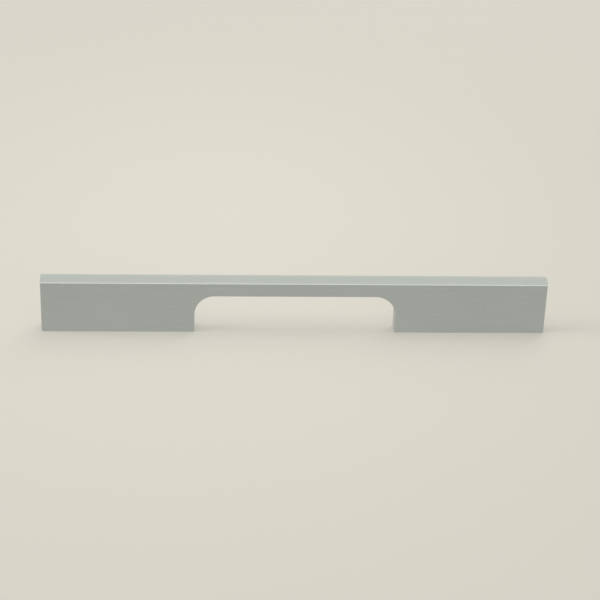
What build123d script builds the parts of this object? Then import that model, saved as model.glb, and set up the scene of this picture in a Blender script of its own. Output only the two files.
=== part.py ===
from build123d import *
import os

# A furniture handle, cut from one length of crowned flat bar.
# Seen from the front it is a long low bridge: two broad feet, and between them
# an opening for the fingers, milled out from below with rounded upper corners.
# Millimetres. X runs along the handle, -Y is its front face, +Z is up.
# The origin is the middle of the plane on which the feet stand.

# The bar
length = 236.0
width = 8.0
shoulder_height = 24.8
crown_rise = 2.4

# The finger opening
opening_width = 94.0
opening_height = 18.4
opening_corner_radius = 9.4

# The edges
shoulder_radius = 0.8
foot_corner_radius = 0.8
edge_break = 0.3

# The screw holes, one up into each foot
hole_spacing = 160.0
tapping_diameter = 3.3
hole_depth = 12.0
countersink_diameter = 4.4
countersink_angle = 90.0
drill_point_height = 1.0

with BuildPart() as handle:
    # The bar's end section: flat front and back faces under a shallow crown.
    with BuildSketch(Plane.YZ) as section:
        with BuildLine():
            flat_sides = Polyline(
                (-width / 2, shoulder_height),
                (-width / 2, 0),
                (width / 2, 0),
                (width / 2, shoulder_height),
            )
            ThreePointArc(flat_sides @ 1, (0, shoulder_height + crown_rise), flat_sides @ 0)
        make_face()
        shoulders = section.vertices().group_by(Axis.Y)[-1]
        fillet(shoulders, radius=shoulder_radius)
    extrude(amount=length / 2, both=True)

    # The outer lower corner of each foot is rounded, as seen from the front.
    foot_corners = handle.edges().filter_by(Axis.Y).group_by(Axis.Z)[0]
    fillet(foot_corners, radius=foot_corner_radius)

    # The opening is milled through from front to back and is open below.
    with BuildSketch(Plane.XZ) as opening:
        Rectangle(opening_width, opening_height, align=(Align.CENTER, Align.MIN))
        fillet(opening.vertices().group_by(Axis.Y)[-1], radius=opening_corner_radius)
    extrude(amount=width / 2, both=True, mode=Mode.SUBTRACT)

    # Every rim of the front, the back and the ends is only just broken.
    flat_faces = handle.faces().filter_by(Axis.Y)
    shoulder_lines = flat_faces.edges().group_by(Axis.Z)[-1]
    upright_faces = handle.faces().filter_by(Axis.X).group_by(Axis.X)
    end_faces = upright_faces[0] + upright_faces[-1]
    end_arcs = end_faces.edges().filter_by(GeomType.CIRCLE)
    fillet(flat_faces.edges() - shoulder_lines + end_arcs, radius=edge_break)

    # Each foot has a tapped hole with a countersunk mouth and a drilled point.
    with Locations(-Plane.XY):
        with GridLocations(hole_spacing, 0, 2, 1):
            CounterSinkHole(
                radius=tapping_diameter / 2,
                counter_sink_radius=countersink_diameter / 2,
                depth=hole_depth,
                counter_sink_angle=countersink_angle,
            )
            with Locations((0, 0, -hole_depth)):
                Cone(
                    bottom_radius=0,
                    top_radius=tapping_diameter / 2,
                    height=drill_point_height,
                    align=(Align.CENTER, Align.CENTER, Align.MAX),
                    mode=Mode.SUBTRACT,
                )

handle.part.label = "handle"

os.makedirs("parts", exist_ok=True)
export_step(handle.part, "parts/handle.step")
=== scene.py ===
import math

import bpy
import numpy as np
from mathutils import Matrix, Vector


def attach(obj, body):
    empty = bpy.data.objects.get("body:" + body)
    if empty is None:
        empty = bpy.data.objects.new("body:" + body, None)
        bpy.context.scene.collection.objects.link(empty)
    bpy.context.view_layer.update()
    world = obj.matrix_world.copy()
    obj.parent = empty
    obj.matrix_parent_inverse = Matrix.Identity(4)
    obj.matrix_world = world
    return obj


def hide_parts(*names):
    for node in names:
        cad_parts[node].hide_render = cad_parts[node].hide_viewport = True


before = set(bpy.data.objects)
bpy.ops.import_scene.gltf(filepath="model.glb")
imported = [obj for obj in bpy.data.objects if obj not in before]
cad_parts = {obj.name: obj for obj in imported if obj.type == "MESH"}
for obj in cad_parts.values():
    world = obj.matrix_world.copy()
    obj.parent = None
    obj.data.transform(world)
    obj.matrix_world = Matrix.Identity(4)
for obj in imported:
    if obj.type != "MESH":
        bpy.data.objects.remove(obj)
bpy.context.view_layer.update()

# The bar of the handle: drawn aluminium, 8 mm thick, with flat faces under a shallow crown.
# It is sawn to length, the finger opening is milled out from below, and every rim is
# broken by hand before the whole is matt-etched and anodised. Metres throughout.
BAR_LENGTH = 0.236
BAR_WIDTH = 0.008
SHOULDER_HEIGHT = 0.0248
CROWN_RISE = 0.0024
SHOULDER_RADIUS = 0.0008
OPENING_WIDTH = 0.094
OPENING_HEIGHT = 0.0184
OPENING_CORNER_RADIUS = 0.0094
FOOT_CORNER_RADIUS = 0.0008
RIM = 0.0003
HOLE_SPACING = 0.160

half_length = BAR_LENGTH / 2
half_width = BAR_WIDTH / 2
half_opening = OPENING_WIDTH / 2
hole_x = HOLE_SPACING / 2
flat_half_width = half_width - RIM

crown_radius = (half_width**2 + CROWN_RISE**2) / (2 * CROWN_RISE)
crown_centre = SHOULDER_HEIGHT + CROWN_RISE - crown_radius
round_offset = half_width - SHOULDER_RADIUS
round_height = crown_centre + math.sqrt((crown_radius - SHOULDER_RADIUS) ** 2 - round_offset**2)
spring_angle = math.atan2(round_height - crown_centre, -round_offset)

# Steps of the grids: over the crown, round a rim and across the bar, along the runs and arcs
# of the outline, and up the flat faces and the end caps.
ROUND_STEPS = 4
CROWN_STEPS = 16
RIM_STEPS = 5
ACROSS_STEPS = 24
END_STEPS = 10
FOOT_CORNER_STEPS = 8
OUTER_SOLE_STEPS = 16
INNER_SOLE_STEPS = 14
WALL_STEPS = 8
OPENING_CORNER_STEPS = 28
BRIDGE_STEPS = 40
FACE_STEPS = 8
CAP_STEPS = 4


def crown_section(inset):
    """The bar's section from the front face's top, over the crown, to the back face's top.

    Three arcs follow each other without a kink: a shoulder round, the crown and the other shoulder
    round. Each point is its arc's centre plus the unit vector at its angle times (radius - inset).
    Returns positions of shape (insets, points, 2) as y and z, and the unit vectors as normals."""
    front = np.linspace(math.pi, spring_angle, ROUND_STEPS + 1)[:-1]
    crown = np.linspace(spring_angle, math.pi - spring_angle, CROWN_STEPS + 1)
    back = np.linspace(math.pi - spring_angle, 0.0, ROUND_STEPS + 1)[1:]
    angle = np.concatenate([front, crown, back])
    arc = np.concatenate([np.full(front.size, 0), np.full(crown.size, 1), np.full(back.size, 2)])
    centre_y = np.array([-round_offset, 0.0, round_offset])[arc]
    centre_z = np.array([round_height, crown_centre, round_height])[arc]
    radius = np.array([SHOULDER_RADIUS, crown_radius, SHOULDER_RADIUS])[arc]
    direction = np.stack([np.cos(angle), np.sin(angle)], axis=-1)
    reach = radius[None, :] - np.asarray(inset)[:, None]
    centre = np.stack([centre_y, centre_z], axis=-1)
    return centre[None] + direction[None] * reach[..., None], direction


def lower_outline():
    """The front outline without its top, from the left end's shoulder round to the right end's.

    Straight runs and quarter arcs are laid end to end in the XZ plane. Returns points, outward
    normals, and mitre vectors, which point from each point away from its inset twin: on smooth
    stretches that is the normal, and at the two sharp corners it is the sum of both normals."""
    points, normals, mitres = [], [], []

    def run(start, end, steps, normal, mitre_start=None, mitre_end=None):
        """Start plus the way from start to end times t, with t in even steps from 0 to 1.

        The mitre is the normal, but for an end at a sharp corner, which has a mitre of its own."""
        t = np.linspace(0.0, 1.0, steps + 1)[:, None]
        points.append(np.array(start) + (np.array(end) - np.array(start)) * t)
        normals.append(np.tile(np.array(normal, float), (steps + 1, 1)))
        mitre = np.tile(np.array(normal, float), (steps + 1, 1))
        if mitre_start is not None:
            mitre[0] = mitre_start
        if mitre_end is not None:
            mitre[-1] = mitre_end
        mitres.append(mitre)

    def arc(centre, radius, start, end, steps, outward):
        """Centre plus radius times the unit vector at each angle between two, in degrees.

        The ends are left to the runs on both sides; outward is -1 on a hollow arc."""
        t = np.radians(np.linspace(start, end, steps + 1)[1:-1])
        ray = np.stack([np.cos(t), np.sin(t)], axis=-1)
        points.append(np.array(centre) + radius * ray)
        normals.append(outward * ray)
        mitres.append(outward * ray)

    foot_radius, foot_steps = FOOT_CORNER_RADIUS, FOOT_CORNER_STEPS
    corner_radius, corner_steps = OPENING_CORNER_RADIUS, OPENING_CORNER_STEPS
    foot_x = half_length - foot_radius
    hole_from, hole_to = hole_x - flat_half_width, hole_x + flat_half_width
    wall_top = OPENING_HEIGHT - corner_radius
    arc_x = half_opening - corner_radius

    run((-half_length, round_height), (-half_length, foot_radius), END_STEPS, (-1, 0))
    arc((-foot_x, foot_radius), foot_radius, 180, 270, foot_steps, 1)
    run((-foot_x, 0), (-hole_to, 0), OUTER_SOLE_STEPS, (0, -1))
    run((-hole_to, 0), (-hole_from, 0), ACROSS_STEPS, (0, -1))
    run((-hole_from, 0), (-half_opening, 0), INNER_SOLE_STEPS, (0, -1), mitre_end=(1, -1))
    run((-half_opening, 0), (-half_opening, wall_top), WALL_STEPS, (1, 0), mitre_start=(1, -1))
    arc((-arc_x, wall_top), corner_radius, 180, 90, corner_steps, -1)
    run((-arc_x, OPENING_HEIGHT), (arc_x, OPENING_HEIGHT), BRIDGE_STEPS, (0, -1))
    arc((arc_x, wall_top), corner_radius, 90, 0, corner_steps, -1)
    run((half_opening, wall_top), (half_opening, 0), WALL_STEPS, (-1, 0), mitre_end=(-1, -1))
    run((half_opening, 0), (hole_from, 0), INNER_SOLE_STEPS, (0, -1), mitre_start=(-1, -1))
    run((hole_from, 0), (hole_to, 0), ACROSS_STEPS, (0, -1))
    run((hole_to, 0), (foot_x, 0), OUTER_SOLE_STEPS, (0, -1))
    arc((foot_x, foot_radius), foot_radius, 270, 360, foot_steps, 1)
    run((half_length, foot_radius), (half_length, round_height), END_STEPS, (1, 0))
    return np.concatenate(points), np.concatenate(normals), np.concatenate(mitres)


def grid_faces(rows, columns):
    """Quads of a grid of rows x columns points, each wound from this row to the next."""
    corner = np.arange(rows * columns).reshape(rows, columns)
    quads = [corner[:-1, :-1], corner[1:, :-1], corner[1:, 1:], corner[:-1, 1:]]
    return np.stack(quads, axis=-1).reshape(-1, 4)


outline, outline_normal, outline_mitre = lower_outline()
inset_outline = outline - RIM * outline_mitre
walked = np.concatenate([[0.0], np.cumsum(np.linalg.norm(np.diff(outline, axis=0), axis=1))])

# Each station of the outline is ruled to a station on the shoulder line above it, so that the
# rulings fan out round the ends and the opening's sides and never cross. The fans say how far
# inside the end, or outside the opening, the rulings from three turns of the outline come up:
# the foot's outer corner, its inner corner, and the top of the opening's straight side.
OUTER_CORNER_FAN = 0.009
INNER_CORNER_FAN = 0.007
WALL_TOP_FAN = 0.001

end_walk = round_height - FOOT_CORNER_RADIUS + FOOT_CORNER_RADIUS * math.pi / 2
foot_walk = half_length - FOOT_CORNER_RADIUS - half_opening
wall_walk = OPENING_HEIGHT - OPENING_CORNER_RADIUS
arc_walk = OPENING_CORNER_RADIUS * math.pi / 2
bridge_walk = OPENING_WIDTH - 2 * OPENING_CORNER_RADIUS
half_walk = np.cumsum([0.0, end_walk, foot_walk, wall_walk, arc_walk, bridge_walk / 2])
half_rule = np.array([
    half_length - RIM,
    half_length - OUTER_CORNER_FAN,
    half_opening + INNER_CORNER_FAN,
    half_opening + WALL_TOP_FAN,
    half_opening - OPENING_CORNER_RADIUS,
    0.0,
])
rule_walk = np.concatenate([half_walk, 2 * half_walk[-1] - half_walk[-2::-1]])
rule_x = np.concatenate([-half_rule, half_rule[-2::-1]])
shoulder_x = np.interp(walked / walked[-1] * rule_walk[-1], rule_walk, rule_x)

blocks = []


def add_block(position, normal, cut, edge=0.0, flip=False, keep=None):
    """Keeps one grid of the surface: positions and normals of shape (rows, columns, 3).

    cut is 1 where the bar was sawn, milled or drilled and 0 on its drawn skin; edge is 1 in the
    middle of a rounded edge, where handling burnishes it. flip turns the faces over, and keep is
    true for each face that stays."""
    rows, columns = position.shape[:2]
    faces = grid_faces(rows, columns)
    if keep is not None:
        faces = faces[keep.ravel()]
    if flip:
        faces = faces[:, ::-1]
    blocks.append({
        "position": position.reshape(-1, 3),
        "normal": normal.reshape(-1, 3),
        "cut": np.broadcast_to(np.asarray(cut, float), (rows, columns)).ravel(),
        "edge": np.broadcast_to(np.asarray(edge, float), (rows, columns)).ravel(),
        "faces": faces,
    })


def add_crown():
    """The crown and both shoulder rounds, carried along X, with quarter-round rims at the ends.

    On a rim the section shrinks by RIM (1 - sin a) while x advances by RIM (1 - cos a)."""
    turn = np.linspace(0.0, math.pi / 2, RIM_STEPS + 1)
    left_x = -half_length + RIM * (1 - np.cos(turn))
    inner = shoulder_x[1:-1]
    stations = np.concatenate([left_x, inner, -left_x[::-1]])
    shrink = RIM * (1 - np.sin(turn))
    inset = np.concatenate([shrink, np.zeros(inner.size), shrink[::-1]])
    tilt = np.concatenate([-np.cos(turn), np.zeros(inner.size), np.cos(turn[::-1])])
    rim = np.concatenate([np.sin(2 * turn), np.zeros(inner.size), np.sin(2 * turn)])
    shoulder = np.sin(np.linspace(0.0, math.pi, ROUND_STEPS + 1))
    across = np.concatenate([shoulder, np.zeros(CROWN_STEPS - 1), shoulder])
    section, direction = crown_section(inset)
    x = np.broadcast_to(stations[:, None, None], section.shape[:2] + (1,))
    position = np.concatenate([x, section], axis=-1)
    upright = np.sqrt(1 - tilt**2)[:, None, None] * direction[None]
    normal = np.concatenate([np.broadcast_to(tilt[:, None, None], x.shape), upright], axis=-1)
    edge = np.maximum(rim[:, None], across[None, :])
    add_block(position, normal, np.abs(tilt)[:, None], edge=edge)


def add_faces():
    """The flat front and back: straight rulings from the inset outline up to the shoulder line."""
    v = np.linspace(0.0, 1.0, FACE_STEPS + 1)[None, :, None]
    top = np.stack([shoulder_x, np.full(shoulder_x.size, round_height)], axis=-1)
    flat = inset_outline[:, None] + (top - inset_outline)[:, None] * v
    for side in (-1.0, 1.0):
        y = np.full(flat.shape[:2] + (1,), side * half_width)
        position = np.concatenate([flat[..., :1], y, flat[..., 1:]], axis=-1)
        normal = np.zeros_like(position)
        normal[..., 1] = side
        add_block(position, normal, 0.0, flip=side > 0)


def add_underside():
    """The ends, foot soles and opening walls with their rims: a profile carried round the outline.

    The profile goes from the front face round a quarter rim, straight across the bar's thickness
    and round a quarter rim to the back face. The squares round the screw holes are left open."""
    turn = np.linspace(0.0, math.pi / 2, RIM_STEPS + 1)
    across = np.linspace(-flat_half_width, flat_half_width, ACROSS_STEPS + 1)[1:-1]
    front_rim = -half_width + RIM * (1 - np.cos(turn))
    y = np.concatenate([front_rim, across, -front_rim[::-1]])
    reach = np.concatenate([np.sin(turn), np.ones(across.size), np.sin(turn[::-1])])
    facing = np.concatenate([-np.cos(turn), np.zeros(across.size), np.cos(turn[::-1])])
    plan = inset_outline[:, None] + RIM * outline_mitre[:, None] * reach[None, :, None]
    position = np.stack([plan[..., 0], np.broadcast_to(y, plan.shape[:2]), plan[..., 1]], axis=-1)
    side = outline_normal[:, None] * reach[None, :, None]
    normal = np.stack([side[..., 0], np.broadcast_to(facing, plan.shape[:2]), side[..., 1]], axis=-1)
    middle_x = (outline[:-1, 0] + outline[1:, 0]) / 2
    on_sole = (outline[:-1, 1] == 0) & (outline[1:, 1] == 0)
    over_hole = on_sole & (np.abs(np.abs(middle_x) - hole_x) < flat_half_width)
    flat_column = np.zeros(y.size - 1, bool)
    flat_column[RIM_STEPS:-RIM_STEPS] = True
    keep = ~(over_hole[:, None] & flat_column[None, :])
    edge = np.concatenate([np.sin(2 * turn), np.zeros(across.size), np.sin(2 * turn)])
    add_block(position, normal, reach[None, :], edge=edge[None, :], flip=True, keep=keep)


def add_end_caps():
    """The part of each end face above the shoulder line, ruled from that line up to the crown."""
    section, _ = crown_section([RIM])
    top = section[0]
    chord_y = np.linspace(-flat_half_width, flat_half_width, ACROSS_STEPS + 1)
    chord = np.stack([chord_y, np.full(chord_y.size, round_height)], axis=-1)
    v = np.linspace(0.0, 1.0, CAP_STEPS + 1)[:, None, None]
    flat = chord[None] + (top - chord)[None] * v
    for end in (-1.0, 1.0):
        x = np.full(flat.shape[:2] + (1,), end * half_length)
        position = np.concatenate([x, flat], axis=-1)
        normal = np.zeros_like(position)
        normal[..., 0] = end
        add_block(position, normal, 1.0, flip=end > 0)


add_crown()
add_faces()
add_underside()
add_end_caps()

# The screw holes: one up into each sole, drilled to a point, tapped M4 and countersunk, so
# that the handle is fixed from behind and nothing shows in front.
THREAD_PITCH = 0.0007
THREAD_CREST_RADIUS = 0.00165
THREAD_DEPTH = 0.0003
THREAD_ROWS_PER_TURN = 10
GROOVE_STEEPNESS = 1.6
GROOVE_LOWERING = 0.3
HOLE_DEPTH = 0.012
MOUTH_RADIUS = 0.0022
DRILL_POINT = 0.001
SOLE_RINGS = 4
CONE_RINGS = 3


def add_screw_hole(centre_x):
    """One hole: a ring of points on each level, from the open square in the sole up to the point.

    The thread is a V groove with flat crests and roots. Its depth is a triangle wave of
    height / pitch - angle / turn, so that it winds up the wall. The wave is made steeper, lowered
    and cut off at 0 and 1, and it fades in and out over one pitch at both ends."""
    side = np.linspace(-flat_half_width, flat_half_width, ACROSS_STEPS + 1)[:-1]
    border = np.full(side.size, flat_half_width)
    square = np.concatenate([
        np.stack([side, -border], axis=-1),
        np.stack([border, side], axis=-1),
        np.stack([-side, border], axis=-1),
        np.stack([-border, -side], axis=-1),
    ])
    square = np.concatenate([square, square[:1]])
    # The rays go once round from the square's first corner, which lies at -135 degrees.
    angle = np.radians(np.linspace(-135.0, 225.0, square.shape[0]))
    ray = np.stack([np.cos(angle), np.sin(angle)], axis=-1)
    ray[-1] = ray[0]
    centre = np.array([centre_x, 0.0])

    def rings(radius, level):
        """One ring for each level: the hole's axis plus each ray times the radius there."""
        radius = np.broadcast_to(radius, (level.shape[0], angle.size))
        level = np.broadcast_to(level, radius.shape)
        return np.concatenate([radius[..., None] * ray + centre, level[..., None]], axis=-1)

    def add_cone(radius, level):
        """A straight wall between two rings, given by both radii and both levels.

        Its normal leans in to the axis by the rise and down by the narrowing, over the slant."""
        t = np.linspace(0.0, 1.0, CONE_RINGS + 1)[:, None]
        widening, rise = radius[1] - radius[0], level[1] - level[0]
        position = rings(radius[0] + widening * t, level[0] + rise * t)
        normal = np.empty_like(position)
        normal[..., :2] = -rise * ray
        normal[..., 2] = widening
        add_block(position, normal / math.hypot(widening, rise), 1.0)

    v = np.linspace(0.0, 1.0, SOLE_RINGS + 1)[:, None, None]
    sole = square[None] + (MOUTH_RADIUS * ray - square)[None] * v
    position = np.concatenate([sole + centre, np.zeros(sole.shape[:2] + (1,))], axis=-1)
    normal = np.zeros_like(position)
    normal[..., 2] = -1.0
    add_block(position, normal, 1.0)

    sink = MOUTH_RADIUS - THREAD_CREST_RADIUS
    add_cone((MOUTH_RADIUS, THREAD_CREST_RADIUS), (0.0, sink))

    rows = round((HOLE_DEPTH - sink) / THREAD_PITCH * THREAD_ROWS_PER_TURN) + 1
    level = np.linspace(sink, HOLE_DEPTH, rows)[:, None]
    phase = (level / THREAD_PITCH - angle[None, :] / (2 * math.pi)) % 1.0
    wave = 1 - 2 * np.abs(phase - 0.5)
    groove = np.clip(GROOVE_STEEPNESS * wave - GROOVE_LOWERING, 0.0, 1.0)
    fade = np.clip((level - sink) / THREAD_PITCH, 0.0, 1.0)
    fade = fade * np.clip((HOLE_DEPTH - level) / THREAD_PITCH, 0.0, 1.0)
    radius = THREAD_CREST_RADIUS + THREAD_DEPTH * groove * fade
    radius[:, -1] = radius[:, 0]
    position = rings(radius, level)
    normal = np.cross(np.gradient(position, axis=0), np.gradient(position, axis=1))
    normal /= np.linalg.norm(normal, axis=-1, keepdims=True)
    normal[:, -1] = normal[:, 0]
    add_block(position, normal, 1.0)

    add_cone((THREAD_CREST_RADIUS, 0.0), (HOLE_DEPTH, HOLE_DEPTH + DRILL_POINT))


add_screw_hole(-hole_x)
add_screw_hole(hole_x)

# Welding: points that fall in the same cube of a tenth of a micrometre are one point. The shift
# keeps round sizes off the cubes' walls.
CUBES_PER_METRE = 1e7
CUBE_SHIFT = 0.137


def weld_blocks(name, blocks):
    """Joins the grids into one closed mesh in which points that coincide are one.

    A quad with two welded neighbours becomes a triangle, one with more is dropped, and every face
    corner keeps the normal of the grid it came from."""
    position = np.concatenate([block["position"] for block in blocks])
    normal = np.concatenate([block["normal"] for block in blocks])
    cut = np.concatenate([block["cut"] for block in blocks])
    edge = np.concatenate([block["edge"] for block in blocks])
    offset = np.cumsum([0] + [block["position"].shape[0] for block in blocks[:-1]])
    faces = np.concatenate([block["faces"] + start for block, start in zip(blocks, offset)])
    cube = np.round(position * CUBES_PER_METRE + CUBE_SHIFT).astype(np.int64)
    _, first, welded = np.unique(cube, axis=0, return_index=True, return_inverse=True)
    corner = welded.ravel()[faces]
    kept = corner != np.roll(corner, 1, axis=1)
    kept &= (kept.sum(axis=1) >= 3)[:, None]
    corners_of_face = kept.sum(axis=1)
    corners_of_face = corners_of_face[corners_of_face > 0]
    loop_start = np.concatenate([[0], np.cumsum(corners_of_face)[:-1]])
    loop_vertex = corner[kept]

    mesh = bpy.data.meshes.new(name)
    mesh.vertices.add(first.size)
    mesh.vertices.foreach_set("co", position[first].astype(np.float32).ravel())
    mesh.loops.add(loop_vertex.size)
    mesh.loops.foreach_set("vertex_index", loop_vertex.astype(np.int32))
    mesh.polygons.add(loop_start.size)
    mesh.polygons.foreach_set("loop_start", loop_start.astype(np.int32))
    mesh.update(calc_edges=True)
    mesh.polygons.foreach_set("use_smooth", np.ones(loop_start.size, bool))
    mesh.normals_split_custom_set(normal[faces][kept])
    for layer_name, values in (("cut", cut), ("edge", edge)):
        layer = mesh.attributes.new(layer_name, "FLOAT", "POINT")
        layer.data.foreach_set("value", values[first].astype(np.float32))
    return mesh


bar_mesh = weld_blocks("bar", blocks)
bar = bpy.data.objects.new("bar", bar_mesh)
bpy.context.scene.collection.objects.link(bar)

# Satin anodised aluminium: a cool grey that looks nearly neutral among the warm surroundings.
# Drawing leaves faint lines along the bar, milling and sawing leave short ones across it,
# etching lays a fine grain over both, and handling has burnished the rounded edges a little.
METAL_COLOUR = (0.491, 0.536, 0.542)
METAL_ROUGHNESS = 0.30
DRAWN_LINES = (70.0, 2400.0, 2400.0)
MILLED_LINES = (3200.0, 120.0, 3200.0)
GRAIN = (6500.0, 6500.0, 6500.0)
CLOUDS = (30.0, 60.0, 60.0)
LINES_TONE = 0.023
CLOUDS_TONE = 0.01
BURNISH_TONE = 0.05
LINES_ROUGHNESS = 0.035
CLOUDS_ROUGHNESS = 0.015
BURNISH_ROUGHNESS = -0.04
GRAIN_SHARE = 0.8
RELIEF_DEPTH = 0.000003
NOISE_LOW = 0.3
NOISE_HIGH = 0.7

satin = bpy.data.materials.new("satin anodised aluminium")
satin.use_nodes = True
satin_nodes = satin.node_tree.nodes
satin_links = satin.node_tree.links
shader = satin_nodes["Principled BSDF"]
shader.inputs["Metallic"].default_value = 1.0
satin_place = satin_nodes.new("ShaderNodeTexCoord")


def surface_noise(scale, detail):
    """A noise on the handle's own coordinates, stretched by three scales in features per metre."""
    spread = satin_nodes.new("ShaderNodeMapping")
    spread.inputs["Scale"].default_value = scale
    noise = satin_nodes.new("ShaderNodeTexNoise")
    noise.inputs["Scale"].default_value = 1.0
    noise.inputs["Detail"].default_value = detail
    satin_links.new(satin_place.outputs["Object"], spread.inputs["Vector"])
    satin_links.new(spread.outputs["Vector"], noise.inputs["Vector"])
    return noise.outputs["Fac"]


def point_value(name):
    """A value that the mesh carries at its points."""
    node = satin_nodes.new("ShaderNodeAttribute")
    node.attribute_name = name
    return node.outputs["Fac"]


def spread_about(middle, noise, swing):
    """A noise's usual range taken to the range from middle - swing to middle + swing."""
    node = satin_nodes.new("ShaderNodeMapRange")
    node.inputs["From Min"].default_value = NOISE_LOW
    node.inputs["From Max"].default_value = NOISE_HIGH
    node.inputs["To Min"].default_value = middle - swing
    node.inputs["To Max"].default_value = middle + swing
    satin_links.new(noise, node.inputs["Value"])
    return node.outputs["Result"]


def combined(operation, first, second):
    """A value added to, multiplied by or compared with a second value or a plain number."""
    tree = first.id_data
    node = tree.nodes.new("ShaderNodeMath")
    node.operation = operation
    tree.links.new(first, node.inputs[0])
    if isinstance(second, float):
        node.inputs[1].default_value = second
    else:
        tree.links.new(second, node.inputs[1])
    return node.outputs["Value"]


tool_lines = satin_nodes.new("ShaderNodeMix")
tool_lines.data_type = "FLOAT"
satin_links.new(point_value("cut"), tool_lines.inputs["Factor"])
satin_links.new(surface_noise(DRAWN_LINES, detail=3.0), tool_lines.inputs["A"])
satin_links.new(surface_noise(MILLED_LINES, detail=2.0), tool_lines.inputs["B"])
lines = tool_lines.outputs["Result"]
grain = surface_noise(GRAIN, detail=1.0)
clouds = surface_noise(CLOUDS, detail=2.0)
burnish = point_value("edge")

line_tone = spread_about(1.0, lines, LINES_TONE)
cloud_tone = spread_about(1.0, clouds, CLOUDS_TONE)
burnish_tone = combined("ADD", combined("MULTIPLY", burnish, BURNISH_TONE), 1.0)
tone = combined("MULTIPLY", combined("MULTIPLY", line_tone, cloud_tone), burnish_tone)
metal_colour = satin_nodes.new("ShaderNodeVectorMath")
metal_colour.operation = "SCALE"
metal_colour.inputs["Vector"].default_value = METAL_COLOUR
satin_links.new(tone, metal_colour.inputs["Scale"])
satin_links.new(metal_colour.outputs["Vector"], shader.inputs["Base Color"])

line_roughness = spread_about(METAL_ROUGHNESS, lines, LINES_ROUGHNESS)
cloud_roughness = spread_about(0.0, clouds, CLOUDS_ROUGHNESS)
burnish_roughness = combined("MULTIPLY", burnish, BURNISH_ROUGHNESS)
roughness = combined("ADD", combined("ADD", line_roughness, cloud_roughness), burnish_roughness)
satin_links.new(roughness, shader.inputs["Roughness"])

relief = satin_nodes.new("ShaderNodeBump")
relief.inputs["Strength"].default_value = 1.0
relief.inputs["Distance"].default_value = RELIEF_DEPTH
relief_height = combined("ADD", combined("MULTIPLY", grain, GRAIN_SHARE), lines)
satin_links.new(relief_height, relief.inputs["Height"])
satin_links.new(relief.outputs["Normal"], shader.inputs["Normal"])
bar_mesh.materials.append(satin)

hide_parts("handle")
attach(bar, "root")

# The floor: one wide sheet of pale warm paper, with a painted pool of light that makes it a
# little lighter behind and to the left of the handle. For the camera and in the metal, part of
# its paleness is its own, which keeps the shadow soft; for the camera, far off, all of it is,
# so that it runs evenly into the backdrop.
PAPER_COLOUR = (0.701, 0.678, 0.609, 1.0)
# The painted pool of light: the paper's tone outside it and in its middle, then its centre and
# reach.
PAINTED_POOL_DARKEST = 0.943
PAINTED_POOL_LIGHTEST = 1.027
FLOOR_HALF_SIDE = 4.0
LIGHT_POOL_PLACE = (-0.025, 0.084, 0.0)
LIGHT_POOL_REACH = (0.274, 0.41, 1.0)
PALENESS_TO_CAMERA = 0.44
PALENESS_IN_METAL = 0.9
EVEN_FROM = 0.4
EVEN_BY = 1.4

floor_mesh = bpy.data.meshes.new("floor")
floor_mesh.from_pydata([
    (-FLOOR_HALF_SIDE, -FLOOR_HALF_SIDE, 0), (FLOOR_HALF_SIDE, -FLOOR_HALF_SIDE, 0),
    (FLOOR_HALF_SIDE, FLOOR_HALF_SIDE, 0), (-FLOOR_HALF_SIDE, FLOOR_HALF_SIDE, 0),
], [], [(0, 1, 2, 3)])
floor = bpy.data.objects.new("floor", floor_mesh)
bpy.context.scene.collection.objects.link(floor)

paper = bpy.data.materials.new("pale warm paper")
paper.use_nodes = True
paper_nodes = paper.node_tree.nodes
paper_links = paper.node_tree.links
paper_nodes.clear()
paper_place = paper_nodes.new("ShaderNodeTexCoord")

# A painted pool of light: the paper's colour times a tone that is highest in the pool's middle and
# lowest outside its reach.
light_pool_place = paper_nodes.new("ShaderNodeMapping")
light_pool_place.vector_type = "TEXTURE"
light_pool_place.inputs["Location"].default_value = LIGHT_POOL_PLACE
light_pool_place.inputs["Scale"].default_value = LIGHT_POOL_REACH
painted_light_pool = paper_nodes.new("ShaderNodeTexGradient")
painted_light_pool.gradient_type = "SPHERICAL"
painted_pool_tone = paper_nodes.new("ShaderNodeMapRange")
painted_pool_tone.interpolation_type = "SMOOTHSTEP"
painted_pool_tone.inputs["To Min"].default_value = PAINTED_POOL_DARKEST
painted_pool_tone.inputs["To Max"].default_value = PAINTED_POOL_LIGHTEST
paper_colour = paper_nodes.new("ShaderNodeMix")
paper_colour.data_type = "RGBA"
paper_colour.blend_type = "MULTIPLY"
paper_colour.inputs["Factor"].default_value = 1.0
paper_colour.inputs["A"].default_value = PAPER_COLOUR
paper_links.new(paper_place.outputs["Object"], light_pool_place.inputs["Vector"])
paper_links.new(light_pool_place.outputs["Vector"], painted_light_pool.inputs["Vector"])
paper_links.new(painted_light_pool.outputs["Fac"], painted_pool_tone.inputs["Value"])
paper_links.new(painted_pool_tone.outputs["Result"], paper_colour.inputs["B"])

distance = paper_nodes.new("ShaderNodeVectorMath")
distance.operation = "LENGTH"
paleness = paper_nodes.new("ShaderNodeMapRange")
paleness.inputs["From Min"].default_value = EVEN_FROM
paleness.inputs["From Max"].default_value = EVEN_BY
paleness.inputs["To Min"].default_value = PALENESS_TO_CAMERA
paleness.inputs["To Max"].default_value = 1.0
paper_links.new(paper_place.outputs["Object"], distance.inputs["Vector"])
paper_links.new(distance.outputs["Value"], paleness.inputs["Value"])
paper_rays = paper_nodes.new("ShaderNodeLightPath")
to_camera = combined("MULTIPLY", paper_rays.outputs["Is Camera Ray"], paleness.outputs["Result"])
in_metal = combined("MULTIPLY", paper_rays.outputs["Is Glossy Ray"], PALENESS_IN_METAL)

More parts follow.
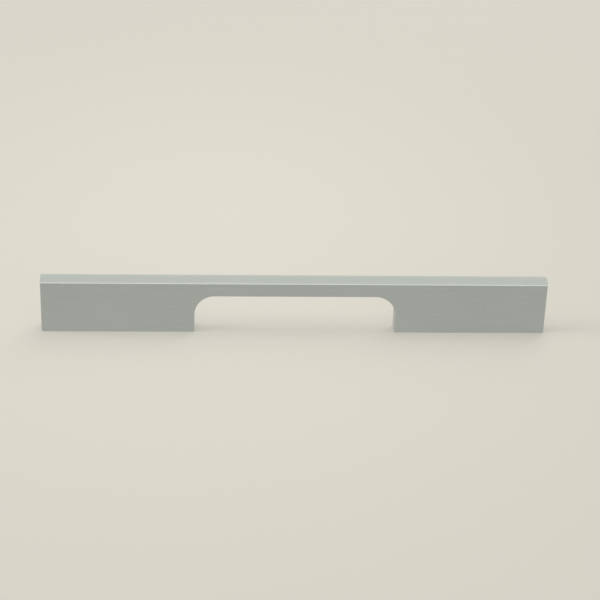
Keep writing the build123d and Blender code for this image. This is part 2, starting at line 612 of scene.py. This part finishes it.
matt = paper_nodes.new("ShaderNodeBsdfDiffuse")
glow = paper_nodes.new("ShaderNodeEmission")
paper_mix = paper_nodes.new("ShaderNodeMixShader")
own_share, shaded_paper, own_paper = paper_mix.inputs
paper_out = paper_nodes.new("ShaderNodeOutputMaterial")
paper_links.new(paper_colour.outputs["Result"], matt.inputs["Color"])
paper_links.new(paper_colour.outputs["Result"], glow.inputs["Color"])
paper_links.new(combined("MAXIMUM", to_camera, in_metal), own_share)
paper_links.new(matt.outputs["BSDF"], shaded_paper)
paper_links.new(glow.outputs["Emission"], own_paper)
paper_links.new(paper_mix.outputs["Shader"], paper_out.inputs["Surface"])
floor_mesh.materials.append(paper)

# Plain studio light: a long soft box overhead and behind and a smaller one at the left, which
# both stay out of the metal; a wide low one in front that draws the thin bright line along
# the shoulder; and an even pale surround, full in the metal and weaker on the floor.
OVERHEAD_PLACE = (0.3, 0.67, 1.15)
OVERHEAD_SIZE = (1.0, 2.3)
OVERHEAD_POWER = 11.3
LEFT_PLACE = (-1.94, -0.16, 1.24)
LEFT_SIZE = (1.18, 1.18)
LEFT_POWER = 26.0
FRONT_PLACE = (0.0, -1.8, 0.70)
FRONT_AIM = (0.0, 0.0, 0.1)
FRONT_SIZE = (3.0, 0.8)
FRONT_POWER = 5.0
SURROUND_COLOUR = (1.0, 0.975, 0.89, 1.0)
SURROUND_IN_METAL = 1.0
SURROUND_ON_FLOOR = 0.45
BACKDROP_COLOUR = (0.661, 0.639, 0.574, 1.0)


def soft_box(name, place, size, power, aim=(0.0, 0.0, 0.0), mirrored=False):
    """A rectangular area lamp at a place, facing a point, and mirrored by the metal or not."""
    lamp = bpy.data.lights.new(name, "AREA")
    lamp.shape = "RECTANGLE"
    lamp.size, lamp.size_y = size
    lamp.energy = power
    lamp_object = bpy.data.objects.new(name, lamp)
    lamp_object.location = place
    lamp_object.rotation_euler = (Vector(aim) - Vector(place)).to_track_quat("-Z", "Y").to_euler()
    lamp_object.visible_camera = False
    lamp_object.visible_glossy = mirrored
    bpy.context.scene.collection.objects.link(lamp_object)


soft_box("overhead box", OVERHEAD_PLACE, OVERHEAD_SIZE, OVERHEAD_POWER)
soft_box("left box", LEFT_PLACE, LEFT_SIZE, LEFT_POWER)
soft_box("low front box", FRONT_PLACE, FRONT_SIZE, FRONT_POWER, aim=FRONT_AIM, mirrored=True)

studio = bpy.data.worlds.new("studio")
bpy.context.scene.world = studio
studio.use_nodes = True
studio_nodes = studio.node_tree.nodes
studio_links = studio.node_tree.links
studio_rays = studio_nodes.new("ShaderNodeLightPath")
surround = studio_nodes["Background"]
surround_strength = studio_nodes.new("ShaderNodeMapRange")
surround_strength.inputs["To Min"].default_value = SURROUND_IN_METAL
surround_strength.inputs["To Max"].default_value = SURROUND_ON_FLOOR
surround_colour = studio_nodes.new("ShaderNodeMix")
surround_colour.data_type = "RGBA"
surround_colour.inputs["A"].default_value = SURROUND_COLOUR
surround_colour.inputs["B"].default_value = BACKDROP_COLOUR
studio_links.new(studio_rays.outputs["Diffuse Depth"], surround_strength.inputs["Value"])
studio_links.new(surround_strength.outputs["Result"], surround.inputs["Strength"])
studio_links.new(studio_rays.outputs["Is Camera Ray"], surround_colour.inputs["Factor"])
studio_links.new(surround_colour.outputs["Result"], surround.inputs["Color"])

# The camera: fitted to the edges of the handle in the photograph, 26 degrees from above,
# to the left of the middle, turned four degrees to the right and rolled a little.
CAMERA_PLACE = (-0.04399, -0.71602, 0.36376)
CAMERA_YAW = math.radians(3.701)
CAMERA_PITCH = math.radians(25.928)
CAMERA_ROLL = math.radians(-1.893)
FOCAL_PIXELS = 1703.2
FRAME_PIXELS = 600
SENSOR_WIDTH = 36.0

level_share = math.cos(CAMERA_PITCH)
forward = Vector((
    math.sin(CAMERA_YAW) * level_share, math.cos(CAMERA_YAW) * level_share, -math.sin(CAMERA_PITCH),
))
level_right = Vector((math.cos(CAMERA_YAW), -math.sin(CAMERA_YAW), 0.0))
level_down = forward.cross(level_right)
right = level_right * math.cos(CAMERA_ROLL) + level_down * math.sin(CAMERA_ROLL)
down = level_down * math.cos(CAMERA_ROLL) - level_right * math.sin(CAMERA_ROLL)
camera_turn = Matrix((right, -down, -forward)).transposed().to_4x4()

camera_data = bpy.data.cameras.new("camera")
camera_data.sensor_width = SENSOR_WIDTH
camera_data.lens = FOCAL_PIXELS / FRAME_PIXELS * SENSOR_WIDTH
camera = bpy.data.objects.new("camera", camera_data)
camera.matrix_world = Matrix.Translation(CAMERA_PLACE) @ camera_turn
bpy.context.scene.collection.objects.link(camera)
bpy.context.scene.camera = camera
bpy.context.scene.view_settings.view_transform = "Standard"
